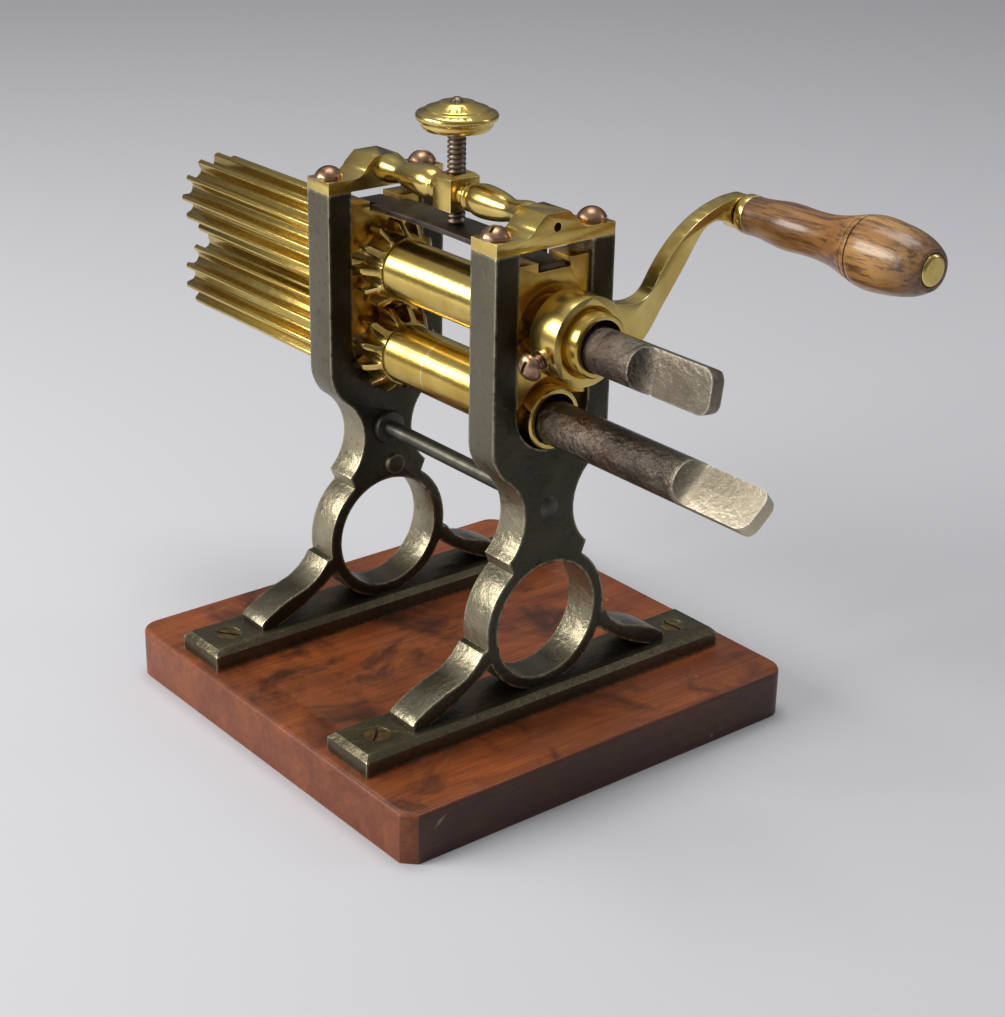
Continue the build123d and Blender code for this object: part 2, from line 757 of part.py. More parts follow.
screw_knob.part.label = "screw_knob"
export_step(screw_knob.part, "parts/screw_knob.step")

# ---------------------------------------------------------------- crank arm
# A hub on the end of the upper roller, a curved arm and an eye for the handle.
# The arm's points are given from the roller's axis, at the drawn reach.
reach_y = crank_reach_y / 75.0
reach_z = crank_reach_z / 32.8


def arm_points(points):
    return [(y * reach_y, upper_axis_z + z * reach_z) for y, z in points]


outer_edge = [(10.4, 11.2), (18.3, 9.2), (24.3, 8.8), (29.0, 10.3), (34.0, 16.4)]
outer_edge += [(40.5, 24.6), (48.9, 31.6), (58.0, 36.2), (67.0, 38.6)]
inner_edge = [(66.2, 30.9), (61.5, 32.1), (56.2, 31.1), (51.6, 26.7), (47.2, 20.3)]
inner_edge += [(40.5, 11.3), (34.6, 3.4), (29.4, -3.6), (22.5, -8.4), (12.5, -9.2)]
set_direction = (cos(radians(set_screw_angle)), sin(radians(set_screw_angle)))


def set_plane(distance):
    """Plane square to the set screw at a distance from the roller's axis."""
    across, up = set_direction
    return Plane(
        origin=(hub_middle, across * distance, upper_axis_z + up * distance),
        x_dir=(1, 0, 0),
        z_dir=(0, across, up),
    )


def along_set_screw(distance):
    """Plane through the set screw's axis: local x along X, local y outwards."""
    across, up = set_direction
    return Plane(
        origin=(hub_middle, across * distance, upper_axis_z + up * distance),
        x_dir=(1, 0, 0),
        z_dir=(0, -up, across),
    )


with BuildPart() as crank_arm:
    with BuildSketch(Plane.YZ.offset(hub_x)):
        with Locations((0, upper_axis_z)):
            Circle(hub_radius)
    extrude(amount=hub_length)
    with BuildSketch(Plane.YZ.offset(arm_front - arm_thickness)):
        outer_ends = arm_points(outer_edge)
        inner_ends = arm_points(inner_edge)
        eye_top = (handle_y, handle_z + eye_radius)
        eye_low = (handle_y - eye_radius * 0.45, handle_z - eye_radius * 0.89)
        with BuildLine():
            Spline(*outer_ends, eye_top)
            Line(eye_top, eye_low)
            Spline(eye_low, *inner_ends)
            Line(inner_ends[-1], outer_ends[0])
        make_face()
        with Locations((handle_y, handle_z)):
            Circle(eye_radius)
    extrude(amount=arm_thickness)
    with BuildSketch(set_plane(hub_radius - 1.5)):
        Circle(pad_radius)
    extrude(amount=1.5 + pad_rise)
    with BuildSketch(lengthwise(0, upper_axis_z)):
        with BuildLine():
            bore = journal_radius + push_fit
            Polyline(
                (hub_x - 1.0, 0),
                (hub_x - 1.0, bore),
                (hub_front - hub_mouth, bore),
                (hub_front, bore + hub_mouth),
                (hub_front + 1.0, bore + hub_mouth),
                (hub_front + 1.0, 0),
                (hub_x - 1.0, 0),
            )
        make_face()
    revolve(axis=Axis((0, 0, upper_axis_z), (1, 0, 0)), mode=Mode.SUBTRACT)
    with BuildSketch(set_plane(journal_radius - 1.0)):
        Circle(set_screw_radius + screw_clearance)
    extrude(amount=hub_radius + pad_rise - journal_radius + 3.0, mode=Mode.SUBTRACT)
    with BuildSketch(Plane.YZ.offset(arm_front - arm_thickness - 1.0)):
        with Locations((handle_y, handle_z)):
            Circle(spindle_radius + push_fit)
    extrude(amount=arm_thickness + 2.0, mode=Mode.SUBTRACT)
crank_arm.part.label = "crank_arm"
export_step(crank_arm.part, "parts/crank_arm.step")

# ---------------------------------------------------------------- set screw
set_tip = journal_radius + push_fit
with BuildPart() as set_screw:
    with BuildSketch(set_plane(set_tip)):
        Circle(set_screw_radius)
    extrude(amount=set_screw_stand - set_tip)
    with BuildSketch(along_set_screw(set_screw_stand)):
        with BuildLine():
            side = set_screw_head_height * 0.25
            Line((0, 0), (set_screw_head_radius, 0))
            Line((set_screw_head_radius, 0), (set_screw_head_radius, side))
            ThreePointArc(
                (set_screw_head_radius, side),
                dome_middle(set_screw_head_radius, side, set_screw_head_height),
                (0, set_screw_head_height),
            )
            Line((0, set_screw_head_height), (0, 0))
        make_face()
    revolve(
        axis=Axis(set_plane(set_screw_stand).origin, (0, set_direction[0], set_direction[1]))
    )
    with BuildSketch(set_plane(set_screw_stand + set_screw_head_height)):
        with Locations(Location((0, 0, 0), (0, 0, 65))):
            Rectangle(3 * set_screw_head_radius, slot_width)
    extrude(amount=-slot_depth, mode=Mode.SUBTRACT)
set_screw.part.label = "set_screw"
export_step(set_screw.part, "parts/set_screw.step")

# ---------------------------------------------------------------- handle
handle_axis = Axis((0, handle_y, handle_z), (1, 0, 0))
with BuildPart() as handle_spindle:
    with BuildSketch(lengthwise(handle_y, handle_z)):
        with BuildLine():
            Polyline(
                (arm_front - arm_thickness, 0),
                (arm_front - arm_thickness, spindle_radius),
                (handle_end - head_recess + handle_gap, spindle_radius),
                (handle_end - head_recess + handle_gap, spindle_head_radius),
                (
                    handle_end - head_recess + handle_gap + spindle_head_length * 0.6,
                    spindle_head_radius,
                ),
                (
                    handle_end - head_recess + handle_gap + spindle_head_length,
                    spindle_head_radius * 0.8,
                ),
                (handle_end - head_recess + handle_gap + spindle_head_length * 0.65, 0),
                (arm_front - arm_thickness, 0),
            )
        make_face()
    revolve(axis=handle_axis)
handle_spindle.part.label = "handle_spindle"
export_step(handle_spindle.part, "parts/handle_spindle.step")

tenon_radius = ferrule_radius - ferrule_wall
with BuildPart() as handle_ferrule:
    with BuildSketch(Plane.YZ.offset(handle_x)):
        with Locations((handle_y, handle_z)):
            Circle(ferrule_radius)
            Circle(tenon_radius + push_fit, mode=Mode.SUBTRACT)
    extrude(amount=ferrule_length)
    chamfer(handle_ferrule.edges().sort_by(Axis.X)[:2].sort_by(SortBy.RADIUS)[-1:], 0.5)
handle_ferrule.part.label = "handle_ferrule"
export_step(handle_ferrule.part, "parts/handle_ferrule.step")

grip = handle_length - ferrule_length
grip_x = handle_x + ferrule_length
groove_x = grip_x + grip * 0.62
with BuildPart() as crank_handle:
    with BuildSketch(lengthwise(handle_y, handle_z)):
        with BuildLine():
            Polyline(
                (grip_x + grip, spindle_radius + running_clearance),
                (handle_x, spindle_radius + running_clearance),
                (handle_x, tenon_radius),
                (grip_x, tenon_radius),
                (grip_x, handle_neck_radius),
            )
            Spline(
                (grip_x, handle_neck_radius),
                (grip_x + grip * 0.10, handle_neck_radius + 0.45),
                (grip_x + grip * 0.20, handle_swell_radius),
                (grip_x + grip * 0.34, handle_waist_radius),
                (grip_x + grip * 0.47, handle_waist_radius + 0.6),
                (grip_x + grip * 0.565, (handle_waist_radius + handle_belly_radius) / 2),
                (grip_x + grip * 0.69, handle_belly_radius),
                (grip_x + grip * 0.80, handle_belly_radius - 0.4),
                (grip_x + grip * 0.92, (handle_belly_radius + handle_end_radius) / 2 + 0.5),
                (grip_x + grip, handle_end_radius),
            )
            Line(
                (grip_x + grip, handle_end_radius),
                (grip_x + grip, spindle_radius + running_clearance),
            )
        make_face()
    revolve(axis=handle_axis)
    for groove in (groove_x, groove_x + groove_pitch):
        with BuildSketch(lengthwise(handle_y, handle_z)):
            with BuildLine():
                Polyline(
                    (groove - groove_depth, handle_belly_radius + 1.0),
                    (groove, handle_belly_radius - 0.55 - groove_depth),
                    (groove + groove_depth, handle_belly_radius + 1.0),
                    (groove - groove_depth, handle_belly_radius + 1.0),
                )
            make_face()
        revolve(axis=handle_axis, mode=Mode.SUBTRACT)
    with BuildSketch(Plane.YZ.offset(handle_end)):
        with Locations((handle_y, handle_z)):
            Circle(spindle_head_radius + handle_gap)
    extrude(amount=-head_recess, mode=Mode.SUBTRACT)
crank_handle.part.label = "crank_handle"
export_step(crank_handle.part, "parts/crank_handle.step")

# ---------------------------------------------------------------- heater irons
# Round rods that lie in the rollers' bores, each with a flat tongue to be held by.
iron_drop = bore_radius - iron_radius - iron_lift


def heater_iron(roller_end, reach_in, axis_z, flat_angle):
    centre_z = axis_z - iron_drop
    inner_end = roller_end - reach_in
    outer_end = inner_end + iron_length
    facing = (0, -cos(radians(flat_angle)), sin(radians(flat_angle)))
    sideways = (0, -sin(radians(flat_angle)), -cos(radians(flat_angle)))
    scoop_x = outer_end - tongue_length + tongue_scoop
    with BuildPart() as rod:
        with BuildSketch(Plane.YZ.offset(inner_end)):
            with Locations((0, centre_z)):
                Circle(iron_radius)
        extrude(amount=iron_length)
        chamfer(rod.edges().filter_by(GeomType.CIRCLE), 0.8)
        with BuildSketch(
            Plane(origin=(0, 0, centre_z), x_dir=(1, 0, 0), z_dir=sideways)
        ):
            with BuildLine():
                Polyline(
                    (scoop_x, tongue_offset),
                    (outer_end + 1.0, tongue_offset),
                    (outer_end + 1.0, iron_radius + 1.0),
                    (scoop_x - tongue_scoop, iron_radius + 1.0),
                    (scoop_x - tongue_scoop, tongue_offset + tongue_scoop),
                )
                ThreePointArc(
                    (scoop_x - tongue_scoop, tongue_offset + tongue_scoop),
                    (
                        scoop_x - tongue_scoop * sqrt(0.5),
                        tongue_offset + tongue_scoop * (1 - sqrt(0.5)),
                    ),
                    (scoop_x, tongue_offset),
                )
            make_face()
            with BuildLine():
                Polyline(
                    (scoop_x - tongue_scoop, -iron_radius),
                    (scoop_x + tongue_scoop, tongue_offset - tongue_thickness),
                    (outer_end + 1.0, tongue_offset - tongue_thickness),
                    (outer_end + 1.0, -iron_radius - 1.0),
                    (scoop_x - tongue_scoop, -iron_radius - 1.0),
                    (scoop_x - tongue_scoop, -iron_radius),
                )
            make_face()
        extrude(amount=iron_radius + 1.0, both=True, mode=Mode.SUBTRACT)
        with BuildSketch(Plane(origin=(0, 0, centre_z), x_dir=(1, 0, 0), z_dir=facing)):
            with Locations((outer_end - iron_radius, 0)):
                Rectangle(2 * iron_radius + 2.0, 2 * iron_radius + 2.0)
            with Locations((outer_end - 2 * iron_radius, 0)):
                RectangleRounded(
                    4 * iron_radius, 2 * iron_radius, tongue_corner, mode=Mode.SUBTRACT
                )
            with Locations((outer_end - 2.5 * iron_radius, 0)):
                Rectangle(2 * iron_radius, 2 * iron_radius + 4.0, mode=Mode.SUBTRACT)
        extrude(amount=iron_radius + 1.0, both=True, mode=Mode.SUBTRACT)
    return rod.part


with BuildPart() as heater_iron_upper:
    add(heater_iron(upper_roller_end, iron_insertion, upper_axis_z, upper_flat_angle))
heater_iron_upper.part.label = "heater_iron_upper"
export_step(heater_iron_upper.part, "parts/heater_iron_upper.step")

with BuildPart() as heater_iron_lower:
    add(heater_iron(lower_roller_end, lower_insertion, lower_axis_z, lower_flat_angle))
heater_iron_lower.part.label = "heater_iron_lower"
export_step(heater_iron_lower.part, "parts/heater_iron_lower.step")
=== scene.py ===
from math import cos, pi, radians, sin

import bpy
from mathutils import Matrix, Vector


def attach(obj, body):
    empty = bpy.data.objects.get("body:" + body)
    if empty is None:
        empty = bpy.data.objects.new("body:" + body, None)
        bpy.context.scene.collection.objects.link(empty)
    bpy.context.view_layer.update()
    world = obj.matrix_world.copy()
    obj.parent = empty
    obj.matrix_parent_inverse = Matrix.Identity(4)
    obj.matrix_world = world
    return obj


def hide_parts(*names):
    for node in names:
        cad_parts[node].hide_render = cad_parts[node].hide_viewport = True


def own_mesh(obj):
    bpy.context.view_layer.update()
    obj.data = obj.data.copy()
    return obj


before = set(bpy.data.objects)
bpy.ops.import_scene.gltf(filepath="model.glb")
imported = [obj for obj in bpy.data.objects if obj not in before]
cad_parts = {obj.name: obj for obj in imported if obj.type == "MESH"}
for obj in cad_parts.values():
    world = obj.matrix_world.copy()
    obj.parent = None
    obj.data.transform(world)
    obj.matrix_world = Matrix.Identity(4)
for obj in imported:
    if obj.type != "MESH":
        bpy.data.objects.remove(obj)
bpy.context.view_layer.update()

bpy.ops.object.select_all(action="DESELECT")


# ------------------------------------------------------------------ base board
# A square board of old mahogany with rounded corners and a softened top edge. It is
# stained and waxed, with rubbed patches, dents and scratches, and it carries painted
# shade on its X-facing sides and in its recesses.

def paint(red, green, blue):
    """A colour as a painter reads it, 0 to 255 each, made linear."""
    return tuple((channel / 255) ** 2.2 for channel in (red, green, blue)) + (1.0,)


class Level:
    """A number that varies over a surface, and the arithmetic on it."""

    def __init__(self, finish, socket):
        self.finish = finish
        self.socket = socket

    def worked(self, operation, first, second=None):
        values = [first] if second is None else [first, second]
        return self.finish.node(
            "ShaderNodeMath", {"operation": operation}, dict(enumerate(values))
        )

    def __add__(self, other):
        return self.worked("ADD", self, other)

    def __radd__(self, other):
        return self.worked("ADD", other, self)

    def __sub__(self, other):
        return self.worked("SUBTRACT", self, other)

    def __rsub__(self, other):
        return self.worked("SUBTRACT", other, self)

    def __mul__(self, other):
        return self.worked("MULTIPLY", self, other)

    def __rmul__(self, other):
        return self.worked("MULTIPLY", other, self)

    def between(self, low, high):
        """0 below low, 1 above high, and a straight rise between them."""
        return self.finish.node(
            "ShaderNodeMapRange", {"clamp": True},
            {"Value": self, "From Min": low, "From Max": high},
        )


class Finish:
    """A material under one shader, and the ways to add the nodes that feed it."""

    def __init__(self, name, **steady):
        self.material = bpy.data.materials.new(name)
        self.material.use_nodes = True
        self.tree = self.material.node_tree
        self.shader = self.tree.nodes["Principled BSDF"]
        for socket, value in steady.items():
            self.shader.inputs[socket.replace("_", " ")].default_value = value

    def node(self, kind, settings=None, inputs=None, output=0):
        made = self.tree.nodes.new(kind)
        for name, value in (settings or {}).items():
            setattr(made, name, value)
        for name, value in (inputs or {}).items():
            if isinstance(value, Level):
                self.tree.links.new(value.socket, made.inputs[name])
            else:
                made.inputs[name].default_value = value
        return Level(self, made.outputs[output])

    def feed(self, **varying):
        for socket, value in varying.items():
            self.tree.links.new(value.socket, self.shader.inputs[socket.replace("_", " ")])
        return self

    def place(self, stretch=(1, 1, 1), turn=(0, 0, 0), shift=(0, 0, 0)):
        spot = self.node("ShaderNodeTexCoord", output="Object")
        return self.node(
            "ShaderNodeMapping", None,
            {"Vector": spot, "Scale": stretch, "Rotation": turn, "Location": shift},
        )

    def height(self, axis="Z"):
        spot = self.node("ShaderNodeTexCoord", output="Object")
        return self.node("ShaderNodeSeparateXYZ", None, {0: spot}, output=axis)

    def side(self, axis):
        """How squarely the surface faces along an axis of the piece, either way."""
        facing = self.node("ShaderNodeNewGeometry", output="Normal")
        turned = self.node(
            "ShaderNodeVectorTransform",
            {"vector_type": "NORMAL", "convert_from": "WORLD", "convert_to": "OBJECT"},
            {"Vector": facing},
        )
        part = self.node("ShaderNodeSeparateXYZ", None, {0: turned}, output=axis)
        return part.worked("ABSOLUTE", part)

    def noise(self, scale, detail=4.0, rough=0.55, bend=0.0, **where):
        return self.node(
            "ShaderNodeTexNoise", None,
            {"Vector": self.place(**where), "Scale": scale, "Detail": detail,
             "Roughness": rough, "Distortion": bend},
        )

    def blend(self, amount, first, second):
        made = self.tree.nodes.new("ShaderNodeMix")
        made.data_type = "RGBA"
        for slot, value in ((0, amount), (6, first), (7, second)):
            if isinstance(value, Level):
                self.tree.links.new(value.socket, made.inputs[slot])
            else:
                made.inputs[slot].default_value = value
        return Level(self, made.outputs[2])

    def crevice(self, reach, inside=False):
        """1 in the open, falling towards 0 in a corner, or at an edge when inside."""
        return self.node(
            "ShaderNodeAmbientOcclusion", {"samples": 8, "inside": inside, "only_local": True},
            {"Distance": reach}, output="AO",
        )

    def relief(self, height, distance, strength=1.0, under=None):
        inputs = {"Height": height, "Distance": distance, "Strength": strength}
        if under is not None:
            inputs["Normal"] = under
        return self.node("ShaderNodeBump", None, inputs)


def worked(node, body, finish, edge=0.0, segments=2):
    """A joined copy of a CAD node with its sharp edges eased, which stands for the node."""
    joined_within = 0.000004
    flat_within = radians(0.6)
    sharp_over = radians(34)
    bpy.ops.object.select_all(action="DESELECT")
    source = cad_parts[node]
    piece = bpy.data.objects.new(node + "_worked", source.data.copy())
    bpy.context.scene.collection.objects.link(piece)
    piece.data.materials.clear()
    bpy.context.view_layer.objects.active = piece
    piece.select_set(True)
    bpy.ops.object.mode_set(mode="EDIT")
    bpy.ops.mesh.select_all(action="SELECT")
    bpy.ops.mesh.remove_doubles(threshold=joined_within)
    bpy.ops.mesh.dissolve_limited(angle_limit=flat_within)
    bpy.ops.object.mode_set(mode="OBJECT")
    if edge:
        ease = piece.modifiers.new("eased", "BEVEL")
        ease.width = edge
        ease.segments = segments
        ease.limit_method = "ANGLE"
        ease.angle_limit = sharp_over
        ease.miter_outer = "MITER_ARC"
        bpy.ops.object.modifier_apply(modifier="eased")
    bpy.ops.object.shade_smooth_by_angle(angle=sharp_over)
    piece.data.materials.append(finish.material)
    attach(piece, body)
    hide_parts(node)
    piece.select_set(False)
    return piece


mahogany = Finish("mahogany", Coat_Weight=0.2, Coat_Roughness=0.22, IOR=1.45)
figure = mahogany.noise(12, 4, 0.55, 1.2, stretch=(4.0, 1.0, 2.5))
pores = mahogany.noise(520, 5, 0.7, 0.2, stretch=(3.0, 0.09, 3.0))
fibres = mahogany.noise(160, 4, 0.6, 0.4, stretch=(2.2, 0.08, 2.2))
stains = mahogany.noise(30, 4, 0.62, 0.8, shift=(0.31, 0.12, 0.0))
tint = mahogany.blend(figure.between(0.3, 0.7), paint(160, 86, 40), paint(120, 60, 27))
tint = mahogany.blend(fibres.between(0.42, 0.7) * 0.6, tint, paint(108, 50, 23))
tint = mahogany.blend(pores.between(0.5, 0.72) * 0.7, tint, paint(52, 20, 10))
top = mahogany.side("Z").between(0.6, 0.95)
tint = mahogany.blend(stains.between(0.51, 0.66) * (0.2 + 0.6 * top), tint, paint(42, 20, 12))
scuffs = mahogany.noise(7, 5, 0.7, 0.6, shift=(0.07, 0.2, 0.0)).between(0.5, 0.62)
tint = mahogany.blend(scuffs * (0.15 + 0.4 * top), tint, paint(62, 28, 15))
# Painted shade: the faces that look along X are painted dark brown, as if turned away from the
# light.
board_x_side_shade = mahogany.side("X").between(0.6, 0.95)
tint = mahogany.blend(board_x_side_shade * 0.82, tint, paint(38, 20, 16))
worn = 1 - mahogany.crevice(0.0025, True).between(0.3, 0.8)
worn = worn * mahogany.noise(70, 5).between(0.42, 0.6)
tint = mahogany.blend(worn * 0.6, tint, paint(168, 112, 72))
nicks = mahogany.noise(95, 2, 0.5, 0.0, stretch=(1.0, 0.6, 1.0)).between(0.72, 0.75)
tint = mahogany.blend(nicks * 0.7, tint, paint(168, 146, 116))
# Painted shade: the board is painted near black where its own shape would hide it from the light.
board_recess_shade = 1 - mahogany.crevice(0.009).between(0.3, 0.95)
tint = mahogany.blend(board_recess_shade * 0.85, tint, paint(30, 14, 9))
dull = 0.3 * mahogany.noise(140, 5, 0.65)
surface = pores + fibres * 0.6 + nicks * -1.5 + mahogany.noise(55, 4) * 1.5
mahogany.feed(
    Base_Color=tint,
    Roughness=0.3 + dull + 0.12 * board_x_side_shade,
    Normal=mahogany.relief(surface, 0.0004, 0.6),
)
worked("base_board", "stand", mahogany, edge=0.0007, segments=2)


# ------------------------------------------------------------------ frames
# Two castings from one pattern. The iron is dark and waxed, olive where dust has
# settled on the feet, lumpy from the sand and rubbed bright along its edges.
cast_iron = Finish("cast_iron", Metallic=0.85)
clouds = cast_iron.noise(38, 4, 0.6)
grit = cast_iron.noise(900, 4, 0.7)
pits = cast_iron.noise(330, 3, 0.6)
lumps = cast_iron.noise(120, 3, 0.5)
tint = cast_iron.blend(clouds.between(0.35, 0.7), paint(102, 98, 82), paint(72, 70, 58))
foot_top = 0.028
low = 1 - cast_iron.height("Z").between(foot_top - 0.0015, foot_top + 0.002)
tint = cast_iron.blend(low * 0.7, tint, paint(88, 78, 58))
# Painted light: the faces that look along Y, fading out towards the yokes, are painted pale, as if
# lit by the window.
frame_y_side_light = cast_iron.side("Y").between(0.35, 0.8) * (1 - low)
yoke_foot, yoke_side = 0.1, 0.125
frame_y_side_light = frame_y_side_light * (1 - 0.8 * cast_iron.height("Z").between(yoke_foot, yoke_side))
tint = cast_iron.blend(frame_y_side_light * clouds.between(0.2, 0.6) * 0.6, tint, paint(196, 184, 152))
# Painted shade: the faces that look along X are painted dark, as if turned away from the light.
frame_x_side_shade = cast_iron.side("X").between(0.8, 0.97) * (1 - low)
tint = cast_iron.blend(frame_x_side_shade * 0.75, tint, paint(50, 47, 38))
bare = (1 - cast_iron.crevice(0.0018, True).between(0.3, 0.85)) * pits.between(0.3, 0.55)
tint = cast_iron.blend(bare * 0.9, tint, paint(232, 220, 184))
tint = cast_iron.blend(pits.between(0.6, 0.75) * 0.5, tint, paint(26, 24, 20))
# Painted shade: the castings are painted near black in their own recesses and corners.
frame_recess_shade = 1 - cast_iron.crevice(0.008).between(0.2, 0.9)
tint = cast_iron.blend(frame_recess_shade * 0.85, tint, paint(20, 18, 15))
cast_iron.feed(
    Base_Color=tint,
    Roughness=0.2 + 0.2 * grit + 0.14 * frame_recess_shade + 0.1 * pits - 0.06 * bare,
    Normal=cast_iron.relief(
        grit, 0.0002, 0.5,
        cast_iron.relief(pits, 0.0006, 0.5, cast_iron.relief(lumps, 0.0012, 0.5)),
    ),
)
for frame_casting in ("frame_far", "frame_near"):
    worked(frame_casting, "stand", cast_iron, edge=0.0009, segments=3)


# ------------------------------------------------------------------ foot screws
# Countersunk brass wood screws with sawn slots, tarnished brown. They hold the two
# ends of each frame's foot down to the board.
tarnished = Finish("tarnished_brass", Metallic=0.9)
stain = tarnished.noise(420, 4)
tarnished.feed(
    Base_Color=tarnished.blend(stain.between(0.35, 0.65), paint(128, 106, 72), paint(84, 66, 44)),
    Roughness=0.34 + 0.2 * stain,
    Normal=tarnished.relief(tarnished.noise(900), 0.0001, 0.4),
)
worked("foot_screws", "stand", tarnished, edge=0.00015)


# ------------------------------------------------------------------ stretcher bar
# A dark iron rod between the frames, with a collar against the far one. Its ends are
# riveted over on the frames' outer faces.
bar_iron = Finish("bar_iron", Metallic=0.85)
film = bar_iron.noise(110, 4)
# Painted shade: the rod is painted near black in its own recesses and corners.
crevice_shade = 1 - bar_iron.crevice(0.003).between(0.3, 0.95)
tint = bar_iron.blend(film.between(0.35, 0.7), paint(94, 92, 84), paint(62, 62, 56))
bar_iron.feed(
    Base_Color=bar_iron.blend(crevice_shade * 0.8, tint, paint(20, 18, 15)),
    Roughness=0.32 + 0.25 * film,
    Normal=bar_iron.relief(film, 0.0006, 0.4),
)
worked("stretcher_bar", "stand", bar_iron, edge=0.0004)


# ------------------------------------------------------------------ rollers
# Hollow brass castings, cut with twelve narrow ridges and polished by use. Painted shade
# darkens the roots of the flutes in patches, and the barrels carry fine turning marks.
def brass_finish(name, light, deep, rough, grain, wobble=0.3, ring=None):
    finish = Finish(name, Metallic=1.0)
    cloud = finish.noise(42, 4, 0.6)
    marks = finish.noise(700, 4, 0.65, stretch=grain)
    streaks = finish.noise(150, 4, 0.6, stretch=grain)
    tint = finish.blend(cloud.between(0.35, 0.7), paint(*light), paint(*deep))
    tint = finish.blend(streaks.between(0.5, 0.75) * 0.35, tint, paint(140, 112, 50))
    # Painted shade: the brass is painted dark brown in patches in its hollows, and left rougher
    # there.
    hollow_shade = (1 - finish.crevice(0.006).between(0.2, 0.9)) * finish.noise(160, 3).between(0.2, 0.6)
    tint = finish.blend(hollow_shade * 0.6, tint, paint(92, 66, 28))
    rubbed = 1 - finish.crevice(0.0009, True).between(0.3, 0.85)
    tint = finish.blend(rubbed * 0.6, tint, paint(255, 246, 205))
    if ring is not None:
        along = finish.height("X")
        line = along.between(ring - 0.0003, ring) * (1 - along.between(ring, ring + 0.0003))
        tint = finish.blend(line * 0.8, tint, paint(255, 246, 210))
    finish.feed(
        Base_Color=tint,
        Roughness=rough + 0.12 * cloud + 0.14 * hollow_shade + 0.08 * marks,
        Normal=finish.relief(
            marks, 0.00008, 0.4, finish.relief(finish.noise(110, 3), 0.0005, wobble)
        ),
    )
    return finish


scribed_ring_x = -0.006
for roller, body, ring in (
    ("upper_roller", "upper_roll", None), ("lower_roller", "lower_roll", scribed_ring_x),
):
    roller_brass = brass_finish(
        "roller_brass", (214, 188, 108), (188, 156, 78), 0.12, (0.08, 1.0, 1.0), ring=ring
    )
    worked(roller, body, roller_brass, edge=0.0002)


# ------------------------------------------------------------------ bearing blocks
# Cast brass blocks that slide in the frames' slots and are dished round the journals.
# They were left rougher from the mould than the rollers.
block_brass = brass_finish("block_brass", (222, 188, 100), (196, 146, 62), 0.2, (1.0, 1.0, 0.4))
for block in ("middle_block_far", "middle_block_near"):
    worked(block, "stand", block_brass, edge=0.0004)
for block in ("upper_block_far", "upper_block_near"):
    worked(block, "carriage", block_brass, edge=0.0004)


# ------------------------------------------------------------------ leaf spring
# A strip of dark spring steel with its ends in the blocks' notches. It is arched up to the
# pressure screw, and is given a mesh of its own.
spring_steel = Finish("spring_steel", Metallic=0.9)
film = spring_steel.noise(120, 4)
spring_steel.feed(
    Base_Color=spring_steel.blend(film.between(0.35, 0.7), paint(70, 66, 64), paint(104, 92, 80)),
    Roughness=0.32 + 0.2 * film,
    Normal=spring_steel.relief(spring_steel.noise(800), 0.0001, 0.4),
)
leaf = worked("leaf_spring", "carriage", spring_steel, edge=0.0003)
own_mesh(leaf)


# ------------------------------------------------------------------ bridge
# One brass casting turned between centres: two filed caps, a baluster bar and a
# square boss that is threaded for the pressure screw.
bridge_brass = brass_finish("bridge_brass", (224, 200, 122), (200, 168, 88), 0.12, (0.4, 1.0, 1.0))
worked("bridge", "stand", bridge_brass, edge=0.0005, segments=3)


# ------------------------------------------------------------------ cap screws
# Domed steel screws with a bronzed, polished skin and a sawn slot. Two hold each end
# of the bridge down to the uprights.
bronzed = Finish("bronzed_steel", Metallic=1.0)
film = bronzed.noise(260, 4)
# Painted shade: the screws are painted near black in their slots and recesses.
crevice_shade = 1 - bronzed.crevice(0.0012).between(0.3, 0.95)
tint = bronzed.blend(film.between(0.3, 0.7), paint(184, 150, 122), paint(132, 100, 78))
bronzed.feed(
    Base_Color=bronzed.blend(crevice_shade * 0.9, tint, paint(30, 20, 16)),
    Roughness=0.22 + 0.2 * film,
    Normal=bronzed.relief(bronzed.noise(500), 0.00015, 0.4),
)
worked("cap_screws", "stand", bronzed, edge=0.0002)


